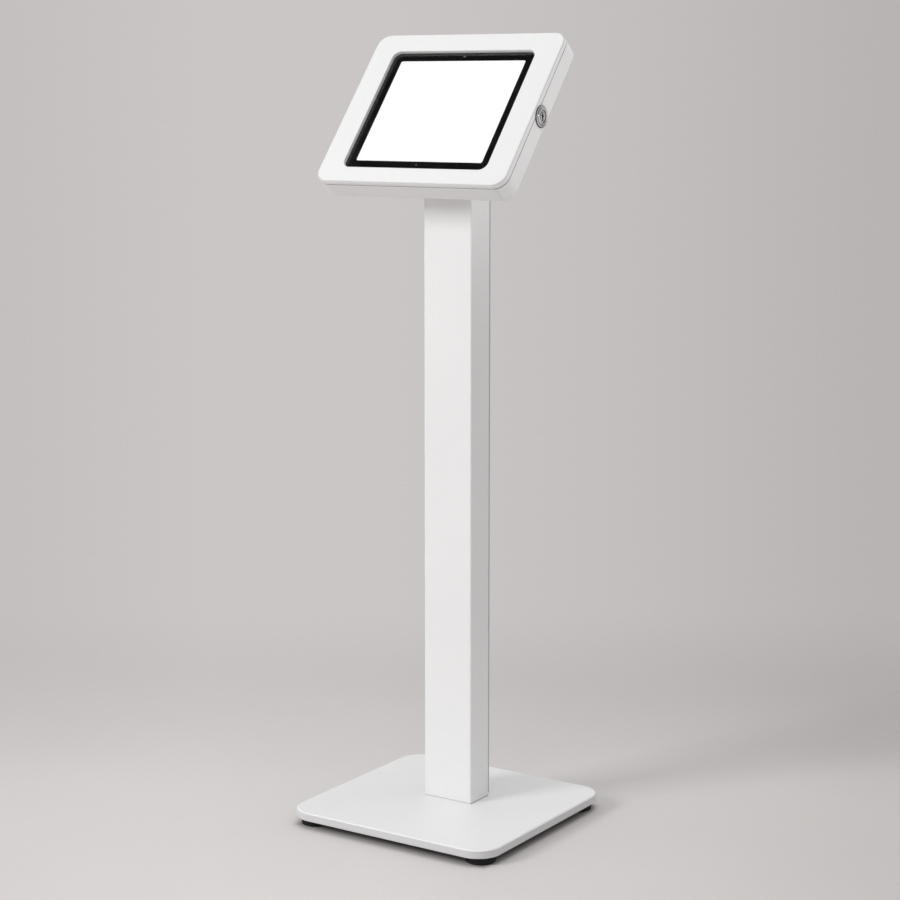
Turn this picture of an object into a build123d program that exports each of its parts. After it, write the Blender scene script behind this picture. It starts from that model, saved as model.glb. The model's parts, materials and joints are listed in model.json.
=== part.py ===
from build123d import *
import math
import os

# Tablet kiosk stand.  All sizes in mm.
# Origin: centre of the stand's footprint on the floor.  +Z up, +X to the right
# of a person who faces the screen, +Y towards the back of the stand.

# ---------------------------------------------------------------- dimensions
BASE_W, BASE_D, BASE_T, BASE_R = 338.0, 324.0, 12.3, 37.0   # steel plate
BASE_BEVEL = 1.4
FOOT_H = 11.7                   # underside of the plate above the floor
FOOT_X, FOOT_Y = 140.0, 130.0   # levelling feet
FOOT_R = 21.0
STUD_R, STUD_HOLE_R, STUD_TOP = 3.93, 4.0, 21.9
FOOT_HOLE_DEPTH = 10.5

COL_W, COL_D, COL_T = 80.0, 50.0, 2.0     # folded column, with its rear cover
COL_YC = 24.0                              # centre of the column, behind the base's centre
COL_LIP = 14.0
COVER_T = 2.0                              # rear cable cover

TILT = 39.4                                # face leans back from the vertical
HEAD_W, HEAD_H, HEAD_T, HEAD_R = 310.0, 262.0, 35.5, 20.0
HEAD_Y, HEAD_Z = -104.48, 914.55           # bottom middle of the face
FRONT_D = 8.0                              # depth of the front cover's rim
SEAM = 0.8                                 # gap between cover and tray
WALL = 1.5                                 # tray sheet
FACE_T = 2.0                               # cover sheet
RIM_T = 2.0
FLANGE_T, FLANGE_Z = 1.2, 11.0              # cover's locating flange inside the tray
OPEN_W, OPEN_H, OPEN_R = 235.0, 205.0, 12.0
OPEN_Y = 128.1                             # centre of the opening above the lower edge
OPEN_DEPTH = 5.0

TAB_W, TAB_H, TAB_T, TAB_R = 242.0, 213.0, 7.5, 14.0
TAB_Y = 129.0                              # centre of the tablet above the head's lower edge
TAB_Z = -5.3                               # front of the tablet's glass
DISP_W, DISP_H = 206.0, 176.0
GLASS_T, PANEL_T = 0.9, 1.0
ADHESIVE_T = 0.05                          # clear gap between glass and panel

PLATE = 120.0                              # column-top plate
PLATE_T = 4.0
BOLT_P = 50.0                              # half of its bolt spacing
DUCT_R = 20.0                              # cable hole

HINGE_X, HINGE_Z = -HEAD_W / 2 - 0.4, -8.4 # hinge axis, head frame
BARREL_R, PIN_R = 2.5, 1.25
HINGES = (55.0, 205.0)

LOCK_Y, LOCK_Z = 130.3, -18.5              # lock axis, head frame
LOCK_FLANGE_R, LOCK_BODY_R, PLUG_R = 15.5, 7.5, 6.2
XS = HEAD_W / 2                            # outer face of the head's right side

# ---------------------------------------------------------------- frames
t = math.radians(TILT)
head = Plane(origin=(0, HEAD_Y, HEAD_Z), x_dir=(1, 0, 0),
             z_dir=(0, -math.cos(t), math.sin(t)))
# head frame: x right, y up the face, z out of the face


def to_world(shape):
    return head.location * shape


def box(x0, x1, y0, y1, z0, z1):
    return Pos((x0 + x1) / 2, (y0 + y1) / 2, (z0 + z1) / 2) * Box(x1 - x0, y1 - y0, z1 - z0)


def slab(w, h, r, z0, z1, yc):
    """Rounded plate centred on x = 0, y = yc."""
    return extrude(Plane.XY.offset(z0) * Pos(0, yc) * RectangleRounded(w, h, r), z1 - z0)


def cyl_z(r, z0, z1, x=0.0, y=0.0):
    return Pos(x, y, (z0 + z1) / 2) * Cylinder(r, z1 - z0)


def cyl_x(r, x0, x1, y=0.0, z=0.0):
    return Pos((x0 + x1) / 2, y, z) * Rot(0, 90, 0) * Cylinder(r, x1 - x0)


def cyl_y(r, y0, y1, x=0.0, z=0.0):
    return Pos(x, (y0 + y1) / 2, z) * Rot(90, 0, 0) * Cylinder(r, y1 - y0)


def hex_z(af, z0, z1, x=0.0, y=0.0):
    return extrude(Plane.XY.offset(z0) * Pos(x, y) * RegularPolygon(af / math.sqrt(3), 6), z1 - z0)


def edges_at(shape, z, tol=1e-3):
    return [e for e in shape.edges()
            if abs(e.bounding_box().min.Z - z) < tol and abs(e.bounding_box().max.Z - z) < tol]


parts = {}

# ---------------------------------------------------------------- base plate
ZB = FOOT_H
ZT = FOOT_H + BASE_T
base = slab(BASE_W, BASE_D, BASE_R, ZB, ZT, 0)
base = chamfer(edges_at(base, ZB) + edges_at(base, ZT), BASE_BEVEL)
base_bolts = [(sx * 24.0, COL_YC - 2.0 + sy * 12.0) for sx in (-1, 1) for sy in (-1, 1)]
for x, y in base_bolts:
    base -= cyl_z(4.5, ZB - 1, ZT + 1, x, y)
    base -= Pos(x, y, ZB + 2.1) * Cone(8.6, 4.4, 4.2)
feet = [(sx * FOOT_X, sy * FOOT_Y) for sx in (-1, 1) for sy in (-1, 1)]
for x, y in feet:
    base -= cyl_z(STUD_HOLE_R, ZB - 1, ZB + FOOT_HOLE_DEPTH, x, y)
parts["base_plate"] = base

# countersunk socket bolts, from below into the column foot
bolts = []
for x, y in base_bolts:
    b = Pos(x, y, ZB + 0.4 + 2.0) * Cone(8.0, 3.95, 4.0)
    b += cyl_z(3.95, ZB + 4.3, ZT + 9.5, x, y)
    b -= hex_z(5.0, ZB - 1, ZB + 3.2, x, y)
    bolts.append(b)
parts["base_bolts"] = Compound(children=bolts)

# ---------------------------------------------------------------- levelling feet
names = ("front_left", "back_left", "front_right", "back_right")
for (x, y), n in zip(feet, names):
    pad = cyl_z(FOOT_R, 0, FOOT_H - 0.2, x, y)
    pad = fillet(edges_at(pad, 0), 1.4)
    pad = fillet(edges_at(pad, FOOT_H - 0.2), 0.8)
    pad -= cyl_z(STUD_R + 0.02, 4.0, FOOT_H, x, y)
    pad -= cyl_z(9.02, 1.98, 4.02, x, y)
    stud = cyl_z(STUD_R, 3.5, STUD_TOP, x, y)
    stud = chamfer(edges_at(stud, STUD_TOP), 0.8)
    stud += cyl_z(9.0, 2.0, 4.0, x, y)
    parts["foot_pad_" + n] = pad
    parts["foot_stud_" + n] = stud

# ---------------------------------------------------------------- column
y_front = COL_YC - COL_D / 2
y_lip = COL_YC + COL_D / 2 - COVER_T        # outer face of the folded lips
cy = (y_front + y_lip) / 2
profile = RectangleRounded(COL_W, y_lip - y_front, 2.6)
profile -= RectangleRounded(COL_W - 2 * COL_T, y_lip - y_front - 2 * COL_T, 0.7)
profile -= Pos(0, (y_lip - y_front) / 2) * Rectangle(COL_W - 2 * COL_LIP, 3 * COL_T)
column = extrude(Plane.XY.offset(ZT) * Pos(0, cy) * profile, 1100 - ZT)
above = to_world(box(-300, 300, -400, 700, -HEAD_T - PLATE_T, 600))
column -= above

back_y = COL_YC + COL_D / 2
rear_cover = extrude(Plane.XY.offset(ZT + 0.4) * Pos(0, (y_lip + back_y) / 2)
                     * Rectangle(COL_W, COVER_T), 1100 - ZT)
rear_cover = fillet([e for e in rear_cover.edges()
                     if abs(e.center().Y - back_y) < 1e-3 and e.length > 500], 1.5)
rear_cover = chamfer([e for e in rear_cover.edges()
                      if abs(e.center().Y - y_lip) < 1e-3 and e.length > 500], 0.35)
rear_cover -= to_world(box(-300, 300, -400, 700, -HEAD_T - PLATE_T - 0.5, 600))
for s in (-1, 1):       # relief notches at the foot of the cover
    rear_cover -= box(*sorted((s * (COL_W / 2 + 1), s * (COL_W / 2 - 2.2))),
                      y_lip - 1, back_y + 1, ZT, ZT + 4.0)
CABLE_Z = 62.0
rear_cover -= cyl_y(11.0, y_lip - 1, back_y + 1, 0, CABLE_Z)
cover_screws = [(s * 33.0, z) for s in (-1, 1) for z in (110.0, 540.0, 985.0)]
for x, z in cover_screws:
    rear_cover -= cyl_y(2.2, y_lip - 1, back_y + 1, x, z)
    column -= cyl_y(2.0, y_lip - COL_T - 1, y_lip + 1, x, z)
parts["column"] = column
parts["column_rear_cover"] = rear_cover

screws = []
for x, z in cover_screws:
    h = cyl_y(3.9, back_y, back_y + 2.3, x, z)
    h = fillet([e for e in h.edges() if abs(e.center().Y - back_y - 2.3) < 1e-3], 1.4)
    h += cyl_y(1.95, y_lip - COL_T - 3.0, back_y + 0.5, x, z)
    h -= Pos(x, back_y + 2.3, z) * Rot(90, 0, 0) * extrude(RegularPolygon(2.5 / math.sqrt(3), 6), 1.4, both=True)
    screws.append(h)
parts["rear_cover_screws"] = Compound(children=screws)

# rubber grommet for the mains lead, low on the rear cover
g = cyl_y(11.0, y_lip, back_y, 0, CABLE_Z)
g += fillet([e for e in cyl_y(14.5, back_y, back_y + 2.0, 0, CABLE_Z).edges()
             if abs(e.center().Y - back_y - 2.0) < 1e-3], 1.2)
g += cyl_y(13.0, y_lip - 1.8, y_lip, 0, CABLE_Z)
g -= cyl_y(6.0, y_lip - 5, back_y + 5, 0, CABLE_Z)
parts["lower_grommet"] = g

# foot plate welded inside the column, tapped for the base bolts
foot_y0, foot_y1 = y_front + COL_T, y_lip - COL_T - 1.0
foot = box(-COL_W / 2 + COL_T, COL_W / 2 - COL_T, foot_y0, foot_y1, ZT, ZT + 8.0)
foot = fillet([e for e in foot.edges() if e.length < 8.01 and e.length > 7.99
               and abs(e.center().Y - foot_y0) < 1e-3], 0.8)
for x, y in base_bolts:
    foot -= cyl_z(4.0, ZT - 1, ZT + 9, x, y)
parts["column_foot_plate"] = foot

# ---------------------------------------------------------------- column-top plate
# centre of the plate: where the column's middle line meets it
plate_y = (COL_YC - HEAD_Y - math.cos(t) * (HEAD_T + PLATE_T)) / math.sin(t)
top = slab(PLATE, PLATE, 8.0, -HEAD_T - PLATE_T, -HEAD_T, plate_y)
head_bolts = [(sx * BOLT_P, plate_y + sy * BOLT_P) for sx in (-1, 1) for sy in (-1, 1)]
for x, y in head_bolts:
    top -= cyl_z(2.5, -HEAD_T - PLATE_T - 1, -HEAD_T + 1, x, y)
top -= cyl_z(DUCT_R, -HEAD_T - PLATE_T - 1, -HEAD_T + 1, 0, plate_y)
parts["column_top_plate"] = to_world(top)

# ---------------------------------------------------------------- rear tray
HC = HEAD_H / 2
tray = slab(HEAD_W, HEAD_H, HEAD_R, -HEAD_T, -FRONT_D - SEAM, HC)
tray = fillet(edges_at(tray, -HEAD_T), 3.0)
pocket = slab(HEAD_W - 2 * WALL, HEAD_H - 2 * WALL, HEAD_R - WALL, -HEAD_T + WALL, 1, HC)
pocket = fillet(edges_at(pocket, -HEAD_T + WALL), 1.5)
tray -= pocket
tray = chamfer([e for e in edges_at(tray, -FRONT_D - SEAM)
                if max(abs(e.bounding_box().min.X), abs(e.bounding_box().max.X)) > HEAD_W / 2 - HEAD_R - 1
                or abs(e.center().Y - HC) > HC - 0.2], 0.3)
for x, y in head_bolts:
    tray -= cyl_z(2.8, -HEAD_T - 1, -HEAD_T + WALL + 1, x, y)
tray -= cyl_z(DUCT_R, -HEAD_T - 1, -HEAD_T + WALL + 1, 0, plate_y)
RAIL_X = TAB_W / 2 - 13.5                  # web of the rails
rail_screws = [(sx * (RAIL_X - 7.5), TAB_Y + y) for sx in (-1, 1) for y in (-70.0, 70.0)]
for x, y in rail_screws:
    tray -= cyl_z(2.2, -HEAD_T - 1, -HEAD_T + WALL + 1, x, y)
tray -= cyl_x(LOCK_BODY_R + 0.1, HEAD_W / 2 - 3, HEAD_W / 2 + 1, LOCK_Y, LOCK_Z)
# ventilation slots, above and below the column-top plate
for yc in (33.0, HEAD_H - 22.0):
    for i in range(9):
        x = (i - 4) * 12.0
        tray -= extrude(Plane.XY.offset(-HEAD_T - 1) * Pos(x, yc) * SlotOverall(18.0, 3.0, 90), WALL + 2)
for c in HINGES:
    tray -= cyl_y(BARREL_R, c - 29.4, c - 11.4, HINGE_X, HINGE_Z)
    tray -= cyl_y(BARREL_R, c + 11.4, c + 29.4, HINGE_X, HINGE_Z)
    tray -= cyl_y(BARREL_R + 0.35, c - 11.4, c + 11.4, HINGE_X, HINGE_Z)
parts["rear_tray"] = to_world(tray)

# button-head bolts, put in from inside the tray
hb = []
for x, y in head_bolts:
    z = -HEAD_T + WALL
    b = cyl_z(4.75, z, z + 2.7, x, y)
    b = fillet(edges_at(b, z + 2.7), 1.6)
    b += cyl_z(2.45, -HEAD_T - PLATE_T - 0.8, z + 0.5, x, y)
    b -= hex_z(3.0, z + 1.2, z + 4, x, y)
    hb.append(b)
parts["head_bolts"] = to_world(Compound(children=hb))

g = cyl_z(DUCT_R, -HEAD_T - PLATE_T, -HEAD_T + WALL, 0, plate_y)
g += cyl_z(DUCT_R + 3.0, -HEAD_T + WALL, -HEAD_T + WALL + 1.8, 0, plate_y)
g += cyl_z(DUCT_R + 2.0, -HEAD_T - PLATE_T - 1.8, -HEAD_T - PLATE_T, 0, plate_y)
g -= cyl_z(15.0, -HEAD_T - 10, -HEAD_T + 10, 0, plate_y)
parts["tray_grommet"] = to_world(g)

# ---------------------------------------------------------------- tablet cradle
TAB_BACK = TAB_Z - TAB_T
SHELF = TAB_BACK - 1.5           # front face of the rails' shelves
FLOOR = -HEAD_T + WALL
clip_screws = []
rail_shapes = {}
for s, n in ((-1, "left"), (1, "right")):
    def sx(a, b):
        return sorted((s * a, s * b))
    ra, rb = TAB_Y - TAB_H / 2 - 7.5, TAB_Y + TAB_H / 2 + 7.5
    r = box(*sx(RAIL_X - 16.5, RAIL_X + 1.5), ra, rb, FLOOR, FLOOR + 1.5)
    r += box(*sx(RAIL_X, RAIL_X + 1.5), ra, rb, FLOOR, SHELF)
    r += box(*sx(RAIL_X, TAB_W / 2 + 16.0), ra, rb, SHELF - 1.5, SHELF)
    r -= box(*sx(TAB_W / 2 + 1.0, TAB_W / 2 + 17.0), TAB_Y - 70, TAB_Y + 70, SHELF - 3, SHELF + 1)
    for x, y in rail_screws:
        if x * s > 0:
            r -= cyl_z(2.0, FLOOR - 1, FLOOR + 3, x, y)
    for cyy in (TAB_H / -2, TAB_H / 2):
        yy = TAB_Y + cyy + (9.0 if cyy < 0 else -9.0)
        clip_screws.append((s * (TAB_W / 2 + 10.0), yy))
        r -= cyl_z(1.5, SHELF - 3, SHELF + 1, s * (TAB_W / 2 + 10.0), yy)
    rail_shapes[n] = r
parts["cradle_rail_left"] = to_world(rail_shapes["left"])
parts["cradle_rail_right"] = to_world(rail_shapes["right"])

pads = [box(*sorted((s * (TAB_W / 2 - 13.0), s * (TAB_W / 2 - 1.5))), TAB_Y - 90, TAB_Y + 90, SHELF, TAB_BACK)
        for s in (-1, 1)]
parts["cradle_pads"] = to_world(Compound(children=pads))

rs = []
for x, y in rail_screws:
    b = cyl_z(3.9, -HEAD_T - 2.2, -HEAD_T, x, y)
    b = fillet(edges_at(b, -HEAD_T - 2.2), 1.4)
    b += cyl_z(1.95, -HEAD_T - 0.5, FLOOR + 3.0, x, y)
    b -= hex_z(2.5, -HEAD_T - 3, -HEAD_T - 1.0, x, y)
    rs.append(b)
parts["rail_screws"] = to_world(Compound(children=rs))

# corner clips: an L round each corner of the tablet, with a lip over the glass
LIP0, LIP1 = TAB_Z + 0.1, TAB_Z + 1.3
for s, sn in ((-1, "left"), (1, "right")):
    for q, qn in ((-1, "bottom"), (1, "top")):
        ex, ey = s * TAB_W / 2, TAB_Y + q * TAB_H / 2
        def bx(a, b, c, d, z0, z1):
            """a, b: outward from the tablet's side; c, d: outward from its end."""
            return box(*sorted((ex + s * a, ex + s * b)), *sorted((ey + q * c, ey + q * d)), z0, z1)
        clip = bx(0.2, 5.0, -24, 5.0, SHELF, LIP1)
        clip += bx(-24, 5.0, 0.2, 5.0, SHELF, LIP1)
        clip += bx(-1.2, 1.0, -24, 5.0, LIP0, LIP1)
        clip += bx(-24, 1.0, -1.2, 5.0, LIP0, LIP1)
        clip += bx(5.0, 15.0, -15, -3, SHELF, SHELF + 3.0)
        clip = fillet([e for e in clip.edges()
                       if abs(e.center().X - (ex + s * 5.0)) < 1e-3
                       and abs(e.center().Y - (ey + q * 5.0)) < 1e-3], 4.0)
        # follow the tablet's rounded corner on the inside
        clip -= slab(TAB_W + 0.4, TAB_H + 0.4, TAB_R, TAB_BACK, LIP0, TAB_Y)
        keep = slab(TAB_W - 2.4, TAB_H - 2.4, TAB_R - 1.2, LIP0 - 0.2, LIP1 + 1, TAB_Y)
        clip -= keep
        clip -= cyl_z(1.6, SHELF - 1, SHELF + 4, ex + s * 10.0, ey - q * 9.0)
        parts["clip_%s_%s" % (qn, sn)] = to_world(clip)
cs = []
for x, y in clip_screws:
    b = cyl_z(2.75, SHELF + 3.0, SHELF + 4.7, x, y)
    b = fillet(edges_at(b, SHELF + 4.7), 0.9)
    b += cyl_z(1.45, SHELF - 3.5, SHELF + 3.5, x, y)
    b -= hex_z(2.0, SHELF + 3.9, SHELF + 6, x, y)
    cs.append(b)
parts["clip_screws"] = to_world(Compound(children=cs))

# ---------------------------------------------------------------- tablet
shell = slab(TAB_W, TAB_H, TAB_R, TAB_BACK, TAB_Z - 0.15, TAB_Y)
shell = fillet(edges_at(shell, TAB_BACK), 3.0)
shell = chamfer(edges_at(shell, TAB_Z - 0.15), 0.3)
PANEL_BACK = TAB_Z - GLASS_T - PANEL_T
PANEL_FRONT = TAB_Z - GLASS_T - ADHESIVE_T
shell -= slab(TAB_W - 1.6, TAB_H - 1.6, TAB_R - 0.8, PANEL_BACK, TAB_Z + 1, TAB_Y)
shell -= slab(TAB_W - 8, TAB_H - 8, TAB_R - 4, TAB_BACK + 1.2, TAB_Z + 1, TAB_Y)
# side buttons: power on the upper edge, two volume keys on the right edge
KZ = TAB_BACK + 3.4
top_edge = TAB_Y + TAB_H / 2
right_edge = TAB_W / 2
PX = TAB_W / 2 - 54.0
shell -= box(PX - 0.2, PX + 12.2, top_edge - 1.6, top_edge + 1, KZ - 1.5, KZ + 1.5)
parts["button_power"] = to_world(fillet(
    [e for e in box(PX, PX + 12, top_edge - 1.1, top_edge + 0.6, KZ - 1.3, KZ + 1.3).edges()
     if abs(e.length - 1.7) < 1e-3], 1.2))
for n, y0 in (("up", top_edge - 45.0), ("down", top_edge - 60.0)):
    shell -= box(right_edge - 1.6, right_edge + 1, y0 - 0.2, y0 + 12.2, KZ - 1.5, KZ + 1.5)
    parts["button_volume_" + n] = to_world(fillet(
        [e for e in box(right_edge - 1.1, right_edge + 0.6, y0, y0 + 12.0, KZ - 1.3, KZ + 1.3).edges()
         if abs(e.length - 1.7) < 1e-3], 1.2))
# charging port, middle of the left edge
shell -= extrude(Plane(origin=(-TAB_W / 2 - 1, TAB_Y, TAB_BACK + 3.2), x_dir=(0, 1, 0), z_dir=(1, 0, 0))
                 * SlotOverall(8.6, 2.7), 6)
parts["tablet_shell"] = to_world(shell)

core = slab(TAB_W - 8.4, TAB_H - 8.4, TAB_R - 4.2, TAB_BACK + 1.2, PANEL_BACK, TAB_Y)
parts["tablet_core"] = to_world(core)

glass = slab(TAB_W - 1.8, TAB_H - 1.8, TAB_R - 0.9, TAB_Z - GLASS_T, TAB_Z, TAB_Y)
glass = chamfer(edges_at(glass, TAB_Z), 0.2)
parts["tablet_glass"] = to_world(glass)
window = slab(DISP_W, DISP_H, 2.5, PANEL_BACK - 1, TAB_Z - GLASS_T + 1, TAB_Y)
mask = slab(TAB_W - 1.8, TAB_H - 1.8, TAB_R - 0.9, PANEL_BACK, PANEL_FRONT, TAB_Y) - window
CAM_Y = (TAB_Y + DISP_H / 2 + OPEN_Y + OPEN_H / 2) / 2 + 1.0
SEN_Y = (TAB_Y - DISP_H / 2 + OPEN_Y - OPEN_H / 2) / 2 + 2.0
mask -= cyl_z(1.8, PANEL_BACK - 1, TAB_Z + 1, 0, CAM_Y)
mask -= cyl_z(1.3, PANEL_BACK - 1, TAB_Z + 1, 0, SEN_Y)
parts["tablet_bezel"] = to_world(mask)
parts["tablet_display"] = to_world(slab(DISP_W, DISP_H, 2.5, PANEL_BACK, PANEL_FRONT, TAB_Y))
parts["tablet_camera"] = to_world(cyl_z(1.8, PANEL_BACK, PANEL_FRONT, 0, CAM_Y))
parts["tablet_sensor"] = to_world(cyl_z(1.3, PANEL_BACK, PANEL_FRONT, 0, SEN_Y))

# ---------------------------------------------------------------- front cover
cover = slab(HEAD_W, HEAD_H, HEAD_R, -FRONT_D, 0, HC)
cover = fillet(edges_at(cover, 0), 3.0)
cover = chamfer(edges_at(cover, -FRONT_D), 0.3)
cover -= slab(HEAD_W - 2 * RIM_T, HEAD_H - 2 * RIM_T, HEAD_R - RIM_T, -FRONT_D - 1, -FACE_T, HC)
ring = slab(HEAD_W - 2 * RIM_T, HEAD_H - 2 * RIM_T, HEAD_R - RIM_T, -FLANGE_Z, -FACE_T, HC)
ring -= slab(HEAD_W - 2 * RIM_T - 2 * FLANGE_T, HEAD_H - 2 * RIM_T - 2 * FLANGE_T,
             HEAD_R - RIM_T - FLANGE_T, -FLANGE_Z - 1, 1, HC)
# the flange stands 0.5 clear of the tray's walls below the rim
ring -= (slab(HEAD_W, HEAD_H, HEAD_R, -FLANGE_Z - 1, -FRONT_D, HC)
         - slab(HEAD_W - 2 * WALL - 1.0, HEAD_H - 2 * WALL - 1.0, HEAD_R - WALL - 0.5, -FLANGE_Z - 2, 0, HC))
ring -= box(XS - 12, XS + 8, LOCK_Y - 18, LOCK_Y + 18, -FLANGE_Z - 1, -FACE_T)
cover += ring
lip = slab(OPEN_W + 3, OPEN_H + 3, OPEN_R + 1.5, -OPEN_DEPTH, -FACE_T, OPEN_Y)
cover += lip
cover -= slab(OPEN_W, OPEN_H, OPEN_R, -FLANGE_Z - 1, 1, OPEN_Y)
cover = fillet([e for e in edges_at(cover, 0)
                if abs(e.center().X) < OPEN_W / 2 + 0.5 and abs(e.center().Y - OPEN_Y) < OPEN_H / 2 + 0.5], 0.9)
for c in HINGES:
    cover -= cyl_y(BARREL_R + 0.35, c - 29.8, c - 11.0, HINGE_X, HINGE_Z)
    cover -= cyl_y(BARREL_R + 0.35, c + 11.0, c + 29.8, HINGE_X, HINGE_Z)
    cover -= cyl_y(BARREL_R, c - 11.0, c + 11.0, HINGE_X, HINGE_Z)
parts["front_cover"] = to_world(cover)

# ---------------------------------------------------------------- cover hinges
tb, cb, pins = [], [], []
for c in HINGES:
    for a, b in ((c - 29.4, c - 11.4), (c + 11.4, c + 29.4)):
        tb.append(cyl_y(BARREL_R, a, b, HINGE_X, HINGE_Z) - cyl_y(PIN_R + 0.01, a - 1, b + 1, HINGE_X, HINGE_Z))
    cb.append(cyl_y(BARREL_R, c - 11.0, c + 11.0, HINGE_X, HINGE_Z)
              - cyl_y(PIN_R + 0.05, c - 12, c + 12, HINGE_X, HINGE_Z))
    p = cyl_y(PIN_R, c - 29.4, c + 29.4, HINGE_X, HINGE_Z)
    pins.append(fillet([e for e in p.edges() if e.geom_type == GeomType.CIRCLE], 0.4))
parts["hinge_barrels_tray"] = to_world(Compound(children=tb))
parts["hinge_barrels_cover"] = to_world(Compound(children=cb))
parts["hinge_pins"] = to_world(Compound(children=pins))

# ---------------------------------------------------------------- cam lock
fl = cyl_x(LOCK_FLANGE_R, XS, XS + 1.8, LOCK_Y, LOCK_Z)
fl = chamfer([e for e in fl.edges() if abs(e.center().X - XS - 1.8) < 1e-3], 0.9)
fl += cyl_x(11.6, XS, XS + 2.8, LOCK_Y, LOCK_Z)
fl = chamfer([e for e in fl.edges() if abs(e.center().X - XS - 2.8) < 1e-3], 0.6)
# the ring reaches over the seam: its back stands clear of the cover's rim there
fl -= box(XS - 1, XS + 0.3, LOCK_Y - 20, LOCK_Y + 20, -FRONT_D - SEAM, 5)
body = fl + cyl_x(LOCK_BODY_R, XS - 12.5, XS + 1, LOCK_Y, LOCK_Z)
body -= cyl_x(PLUG_R + 0.05, XS - 14, XS + 5, LOCK_Y, LOCK_Z)
body -= cyl_x(8.6, XS + 2.0, XS + 5, LOCK_Y, LOCK_Z)
parts["lock_body"] = to_world(body)

nut = extrude(Plane(origin=(XS - WALL, LOCK_Y, LOCK_Z), x_dir=(0, 1, 0), z_dir=(-1, 0, 0))
              * RegularPolygon(18.0 / math.sqrt(3), 6), 4.0)
nut -= cyl_x(LOCK_BODY_R + 0.04, XS - 10, XS, LOCK_Y, LOCK_Z)
parts["lock_nut"] = to_world(nut)

CAM_X = XS - 15.2                # inner face of the cam
plug = cyl_x(PLUG_R, XS - 13.2, XS + 2.4, LOCK_Y, LOCK_Z)
plug = chamfer([e for e in plug.edges() if abs(e.center().X - XS - 2.4) < 1e-3], 0.4)
plug += box(CAM_X, XS - 13.0, LOCK_Y - 3, LOCK_Y + 3, LOCK_Z - 3, LOCK_Z + 3)
# keyway: slot with a wider middle, its length along the image's vertical
slot = box(XS - 8, XS + 5, -5.3, 5.3, -1.2, 1.2)
slot += box(XS - 8, XS + 5, -1.3, 1.9, -2.7, 2.7)
slot = Pos(0, LOCK_Y, LOCK_Z) * Rot(TILT, 0, 0) * slot
plug -= slot
plug -= cyl_x(2.0, CAM_X - 1, XS - 8.5, LOCK_Y, LOCK_Z)
parts["lock_plug"] = to_world(plug)

cam = cyl_x(6.5, CAM_X, CAM_X + 2.0, LOCK_Y, LOCK_Z)
arm = box(CAM_X, CAM_X + 2.0, LOCK_Y - 4, LOCK_Y + 4, LOCK_Z, LOCK_Z + 14)
arm = fillet([e for e in arm.edges() if abs(e.length - 2.0) < 1e-3 and e.center().Z > LOCK_Z + 10], 2.0)
cam += arm
cam -= box(CAM_X - 1, CAM_X + 3, LOCK_Y - 3.05, LOCK_Y + 3.05, LOCK_Z - 3.05, LOCK_Z + 3.05)
parts["lock_cam"] = to_world(cam)

sc = cyl_x(4.4, CAM_X - 2.6, CAM_X, LOCK_Y, LOCK_Z)
sc = fillet([e for e in sc.edges() if abs(e.center().X - CAM_X + 2.6) < 1e-3], 1.2)
sc += cyl_x(1.95, CAM_X - 1, XS - 9.0, LOCK_Y, LOCK_Z)
sc -= box(CAM_X - 4, CAM_X - 1.6, LOCK_Y - 3.2, LOCK_Y + 3.2, LOCK_Z - 0.5, LOCK_Z + 0.5)
parts["cam_screw"] = to_world(sc)

# strike: hook on the cover that the cam turns in front of
WY = LOCK_Y + 16.5
st = box(XS - 18.5, XS - 7.5, WY, WY + 15, -FACE_T - 1.5, -FACE_T)
st += box(XS - 18.5, XS - 7.5, WY, WY + 1.5, LOCK_Z - 6.5, -FACE_T)
st += box(XS - 18.5, XS - 7.5, LOCK_Y + 10.0, WY + 1.5, LOCK_Z - 6.5, LOCK_Z - 5.0)
parts["cover_strike"] = to_world(st)

# ---------------------------------------------------------------- write out
os.makedirs("parts", exist_ok=True)
for name, shape in parts.items():
    export_step(shape, "parts/%s.step" % name)
print(len(parts), "nodes")
b = Compound(children=list(parts.values())).bounding_box()
print("box", b.min, b.max)
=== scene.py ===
import json
import math

import bpy
from mathutils import Matrix, Vector


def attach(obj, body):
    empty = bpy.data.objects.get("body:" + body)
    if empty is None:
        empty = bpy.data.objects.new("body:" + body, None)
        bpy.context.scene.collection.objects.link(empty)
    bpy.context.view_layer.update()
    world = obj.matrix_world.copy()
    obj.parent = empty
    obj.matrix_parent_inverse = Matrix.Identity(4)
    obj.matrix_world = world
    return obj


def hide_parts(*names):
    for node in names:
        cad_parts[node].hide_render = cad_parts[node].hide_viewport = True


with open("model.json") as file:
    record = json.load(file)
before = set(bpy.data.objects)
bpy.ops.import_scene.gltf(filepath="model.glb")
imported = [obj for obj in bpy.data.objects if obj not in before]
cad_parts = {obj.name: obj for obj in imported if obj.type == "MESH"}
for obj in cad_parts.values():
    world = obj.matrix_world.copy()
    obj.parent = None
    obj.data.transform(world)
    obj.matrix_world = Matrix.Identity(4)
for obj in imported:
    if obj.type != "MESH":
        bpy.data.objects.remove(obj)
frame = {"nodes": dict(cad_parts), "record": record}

# Tablet kiosk stand: finishes, moulded feet, threads, camera, stage and light.
# Everything is in metres, in the frame of the construction.

scene = bpy.context.scene
nodes = frame["nodes"]
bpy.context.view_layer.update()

MM = 0.001
TILT = math.radians(39.4)
HEAD_Y, HEAD_Z = -104.48, 914.55


def head(x, y, z):
    """A point of the head (x right, y up the face, z out of the face, mm) in metres."""
    return Vector((x, HEAD_Y + math.sin(TILT) * y - math.cos(TILT) * z,
                   HEAD_Z + math.cos(TILT) * y + math.sin(TILT) * z)) * MM


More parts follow.
